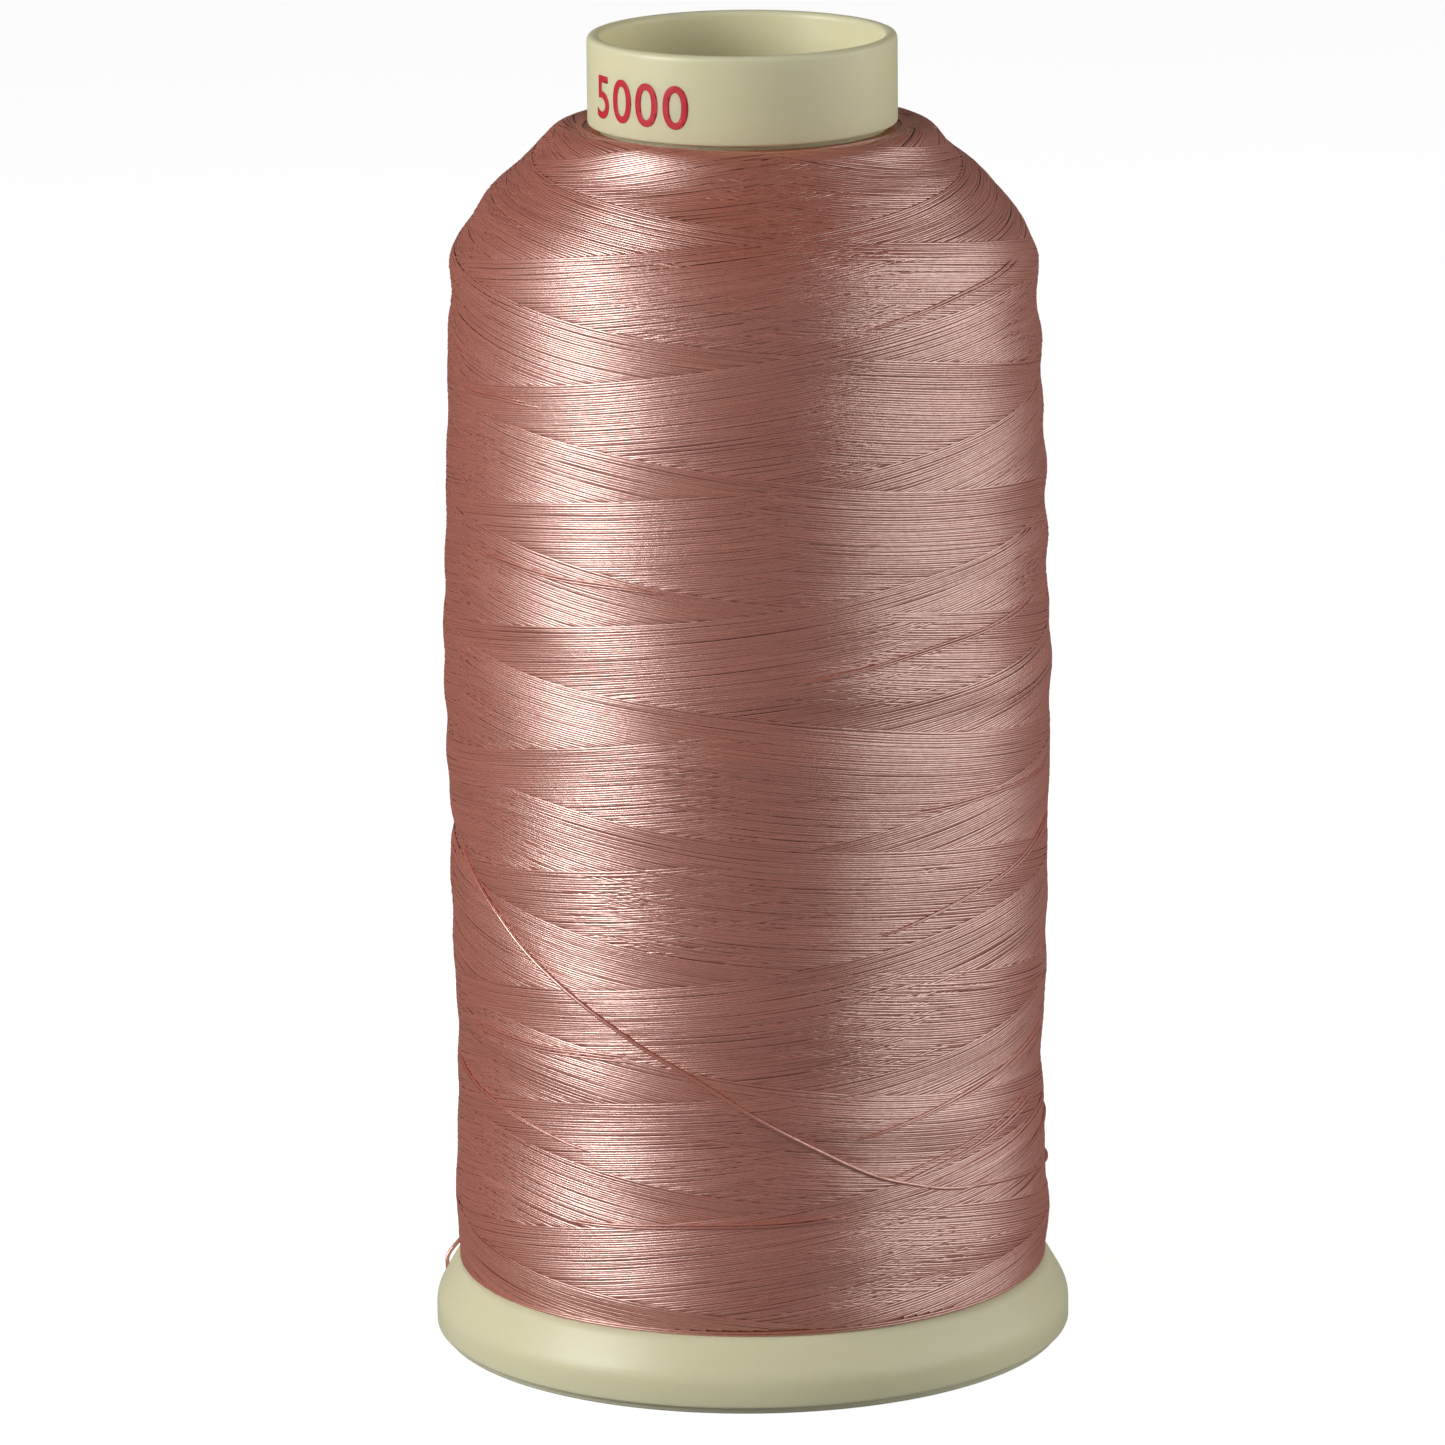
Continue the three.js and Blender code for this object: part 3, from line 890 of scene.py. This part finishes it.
# %% Inner layers
UNDER = 0.11
around = np.linspace(-np.pi, np.pi, STEPS, endpoint=False)
up = np.linspace(0.05, LENGTH - 0.05, 150)
skin = on_surface(around[:, None], up[None, :], -UNDER)
inner_places = [(neck + 0.3, wound_top - 0.1), (foot + 0.4, seat_top + 0.4), (seat + 0.3, seat_top + 0.4)]
inner_places += [(seat + 0.3, flange_top + 0.02)]
rings = [np.stack([radius * np.sin(around), -radius * np.cos(around), np.full(STEPS, height)], -1)
         for radius, height in inner_places]
corners = np.concatenate([skin, np.stack(rings, 1)], 1)
core = piece("winding_core", corners.reshape(-1, 3), ring_faces(STEPS, corners.shape[1]), rayon_thread, 60)
core.data.attributes.new("lay", "FLOAT", "POINT")
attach(core, "spool")
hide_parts("thread_package")

# %% [markdown]
# ## Stray wraps
# The last few traverses don't fall in with the ribbons: single strands and small bundles cross the others
# at their own angle, and level turns finish the winding at the base and under the collar. Each is a tube
# along a line on the surface, and the strays sink under their neighbours at both ends, in one given list.

# %% Laid threads
ROUND = np.linspace(0, 2 * np.pi, 6, endpoint=False)


def laid(turn, length, lift, radius):
    """Corners of a tube whose middle runs along arrays of angle, length and height above the surface."""
    turn, length, lift = (np.asarray(values)[:, None] for values in (turn, length, lift))
    return on_surface(turn, length + radius * np.sin(ROUND), lift + radius * np.cos(ROUND))


def tube_faces(steps, sides, first=0):
    faces = ring_faces(sides, steps, closed=False)
    side, step = faces // steps, faces % steps
    return first + step * sides + side


def wrap(start, end, radius=0.12, sink=0.26, lift=0.09):
    """A tube from one (degrees, height) to another that dives under at both ends."""
    steps = max(8, int(abs(end[0] - start[0]) / 2))
    share = np.linspace(0, 1, steps)
    turn = np.radians(start[0] + share * (end[0] - start[0]))
    length = length_at(start[1]) + share * (length_at(end[1]) - length_at(start[1]))
    length = length + 0.10 * np.sin(share * 9 + start[1]) * np.sin(np.pi * share)
    ends = np.clip(np.minimum(share, 1 - share) * steps / 3, 0, 1)
    height = lift - sink * (1 - ends) + RIBBON_RELIEF
    return laid(turn, length, height, radius)


def bundle(count, start, end, gap=0.25, spread=0.0, **more):
    """Side-by-side wraps, each a gap further up, and fanning out by `spread` at the far end."""
    return [
        wrap((start[0] + 2.5 * (index % 3), start[1] + index * gap),
             (end[0] - 3.0 * (index % 2), end[1] + index * (gap + spread)), **more)
        for index in range(count)
    ]


def threads(name, tubes):
    """One mesh of all these tubes, riding on the spool."""
    corners, faces, lays, first = [], [], [], 0
    sides = len(ROUND)
    tint = np.random.default_rng(77)
    for tube_corners in tubes:
        steps = len(tube_corners)
        corners.append(tube_corners.reshape(-1, 3))
        faces.append(tube_faces(steps, sides, first)[:, ::-1])
        lays.append(np.full(steps * sides, tint.uniform(0.3, 0.75)))
        first += steps * sides
    made = piece(name, np.concatenate(corners), np.concatenate(faces), rayon_thread)
    made.data.attributes.new("lay", "FLOAT", "POINT").data.foreach_set("value", np.concatenate(lays))
    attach(made, "spool")
    return made


# %% [markdown]
# ### Laying them
# Two level turns close each end of the winding. The bundles are listed by where they start and end, as an
# angle from the front and a height, with most at the lower right, where they fan out.

# %% Level turns and stray wraps
level_turns = []
for height in (0.12, 0.34):
    level_turns.append(
        wrap((-180, flange_top + height), (180, flange_top + height), radius=0.12, sink=0, lift=0.0)
    )
turn = np.radians(np.linspace(-180, 180, 181))
for short in (0.12, 0.34):
    level_turns.append(laid(turn, np.full(181, LENGTH - short), np.full(181, 0.0), 0.12))
threads("level_turns", level_turns)

strays = []
strays += bundle(4, (25, 19.3), (74, 24.0), spread=0.05)
strays += bundle(3, (29, 18.6), (86, 22.3), spread=0.08)
strays += bundle(2, (40, 17.6), (96, 20.6))
strays += bundle(3, (18, 24.2), (82, 29.6), spread=0.1)
strays += bundle(2, (21.5, 97.3), (71.8, 101.0))
strays += bundle(2, (29, 53.8), (81, 53.9))
strays += bundle(2, (-75, 89.8), (-41, 90.0))
strays += bundle(3, (-72, 31.3), (-20, 31.6))
strays += bundle(2, (-40, 16.0), (22, 17.4))
strays += bundle(2, (-64, 75.6), (-12, 74.4))
strays += bundle(2, (8, 66.5), (70, 70.2))
strays += bundle(2, (24, 42.8), (88, 49.2))
strays += bundle(2, (-88, 27.0), (-30, 22.6))
strays += bundle(3, (120, 30.0), (185, 36.5), spread=0.06)
strays += bundle(2, (150, 72.0), (230, 63.0))
strays += bundle(2, (100, 88.0), (176, 95.0))
strays += bundle(3, (200, 20.0), (262, 15.0))
threads("stray_wraps", strays)

# %% [markdown]
# ## The thread's end
# The last wrap lies loose over all the others. It comes round from the back, bites into the winding at the
# left, crosses the front on a steep diagonal, goes under the fan of strays at the right, and at the back
# works down to the base. There it drops over the bevel, along the groove in the rim and through the skirt
# to where the lock plate holds it. The first part is laid on the surface, and the second follows the same
# points as the CAD solid.

# %% Tail
TAIL_RADIUS = 0.19
TAIL_BACK = [(25, 20.6), (40, 18.4), (55, 17.6), (90, 15.6), (125, 13.8), (160, 12.2), (195, 10.7)]
TAIL_BACK += [(225, 9.3), (247, 8.2), (255, 7.6)]
route = LOOSE_WRAP + TAIL_BACK[1:]
knots = np.arange(len(route))
fine = np.linspace(0, len(route) - 1, 260)
tail_turn = np.radians(np.interp(fine, knots, [turn for turn, _ in route]))
tail_length = length_at(np.interp(fine, knots, [height for _, height in route]))
smooth = np.hanning(15) / np.hanning(15).sum()
for values in (tail_turn, tail_length):
    values[:] = np.convolve(np.pad(values, 7, "reflect", reflect_type="odd"), smooth, "valid")
lift_turns = [-124, -116, 22, 34, 78, 96, 260]
lifts = [-0.3, 0.26, 0.24, 0.0, 0.0, 0.26, 0.3]
tail_lift = np.interp(np.degrees(tail_turn), lift_turns, lifts)
laid_line = on_surface(tail_turn, tail_length, tail_lift)


def place_at(degrees, radius, height):
    turn = math.radians(degrees)
    return (radius * math.sin(turn), -radius * math.cos(turn), height)


# %% [markdown]
# ### Over the bevel and down the groove
# The laid stretch and the few points of the end become one curve with a round section, turned to a mesh.

# %% Tail mesh
turn_in = CATCH_ANGLE + 360
bevel_top = rim - BEVEL
end_line = [
    place_at(turn_in - 2.6, bevel_top + 0.1, flange_top + 0.2),
    place_at(turn_in - 1.2, bevel_top + 0.55, flange_top - 0.25),
    place_at(turn_in - 0.4, rim - 1 + 0.3, flange_top - 1.2),
    place_at(turn_in, rim - 1 + 0.28, flange_top - 2.0),
    place_at(turn_in, rim - 1 + 0.2, RIM_TOP),
    place_at(turn_in, rim - 1 + 0.05, PLATE + 0.75),
    place_at(turn_in, rim - SHELL - 0.2, PLATE + 0.5),
    place_at(turn_in, rim - SHELL - 0.75, PLATE + 0.45),
]
curve = bpy.data.curves.new("thread_end", "CURVE")
curve.dimensions = "3D"
curve.bevel_depth = TAIL_RADIUS * MM
curve.bevel_resolution = 2
curve.resolution_u = 6
curve.use_fill_caps = True
spline = curve.splines.new("NURBS")
whole = [tuple(point) for point in laid_line] + end_line
spline.points.add(len(whole) - 1)
for point, corner in zip(spline.points, whole):
    point.co = (corner[0] * MM, corner[1] * MM, corner[2] * MM, 1)
spline.order_u = 3
spline.use_endpoint_u = True
curve_object = bpy.data.objects.new("thread_end_curve", curve)
bpy.context.scene.collection.objects.link(curve_object)
evaluated = curve_object.evaluated_get(bpy.context.evaluated_depsgraph_get())
tail_mesh = bpy.data.meshes.new_from_object(evaluated)
bpy.data.objects.remove(curve_object)
tail_mesh.polygons.foreach_set("use_smooth", np.ones(len(tail_mesh.polygons), bool))
tail_mesh.materials.clear()
tail_mesh.materials.append(rayon_thread)
tail = bpy.data.objects.new("thread_end", tail_mesh)
bpy.context.scene.collection.objects.link(tail)
lay_values = np.full(len(tail_mesh.vertices), 0.6, np.float32)
tail_mesh.attributes.new("lay", "FLOAT", "POINT").data.foreach_set("value", lay_values)
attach(tail, "spool")
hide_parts("thread_tail")
print("thread_end", len(tail_mesh.polygons), "faces")

# %% [markdown]
# ## Print on the collar
# Spools carry a small print on the collar. Here it is only the thread's length in plain red digits. The
# digits are a text object turned to a mesh, sliced so that it can bend, and wrapped round the collar as a
# film of ink a few hundredths of a millimetre thick.

# %% Collar digits
DIGIT_HEIGHT = 3.8
DIGITS_MIDDLE = -44
DIGITS_BASE = 113.5
INK = 0.03
ink = Recipe("red_ink")
worn = ink.noise((1.6, 1.6, 1.6), 4.0, 0.6)
red_ink = ink.finish(
    Base_Color=ink.mix(worn, shade(0.52, 0.012, 0.022), shade(0.68, 0.035, 0.055)),
    Roughness=0.32 + 0.2 * worn,
    Normal=ink.bump(worn, 0.01 * MM, 0.4),
)
writing = bpy.data.curves.new("digits", "FONT")
writing.body = "5000"
writing.size = 1.0
writing.align_x = "CENTER"
writing.space_character = 1.12
writing.offset = 0.012
writing_object = bpy.data.objects.new("digits_text", writing)
bpy.context.scene.collection.objects.link(writing_object)
flat = bpy.data.meshes.new_from_object(writing_object.evaluated_get(bpy.context.evaluated_depsgraph_get()))
bpy.data.objects.remove(writing_object)

# %% [markdown]
# ### Bending the digits
# The flat digits are scaled, sliced upright every third of a millimetre so that they can bend, given the
# ink's thickness, and then each corner's distance along the line becomes an angle round the collar.

# %% Bent digits
SLICE = 0.35
CLEAR_OF_WALL = 0.002
shape = bmesh.new()
shape.from_mesh(flat)
tallest = max(corner.co.y for corner in shape.verts)
size = DIGIT_HEIGHT / tallest
for corner in shape.verts:
    corner.co *= size
left = min(corner.co.x for corner in shape.verts)
right = max(corner.co.x for corner in shape.verts)
for cut in np.arange(left, right, SLICE):
    parts = shape.verts[:] + shape.edges[:] + shape.faces[:]
    bmesh.ops.bisect_plane(shape, geom=parts, plane_co=(cut, 0, 0), plane_no=(1, 0, 0))
film = bmesh.ops.extrude_face_region(shape, geom=shape.faces[:])
for item in film["geom"]:
    if isinstance(item, bmesh.types.BMVert):
        item.co.z = INK
for corner in shape.verts:
    turn = math.radians(DIGITS_MIDDLE) + corner.co.x / collar
    radius = collar + CLEAR_OF_WALL + corner.co.z
    corner.co = Vector((radius * math.sin(turn), -radius * math.cos(turn), DIGITS_BASE + corner.co.y)) * MM
bmesh.ops.recalc_face_normals(shape, faces=shape.faces[:])
digits_mesh = bpy.data.meshes.new("collar_digits")
shape.to_mesh(digits_mesh)
shape.free()
digits_mesh.materials.append(red_ink)
digits = bpy.data.objects.new("collar_digits", digits_mesh)
bpy.context.scene.collection.objects.link(digits)
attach(digits, "spool")
print("digits", round((right - left), 1), "mm long")
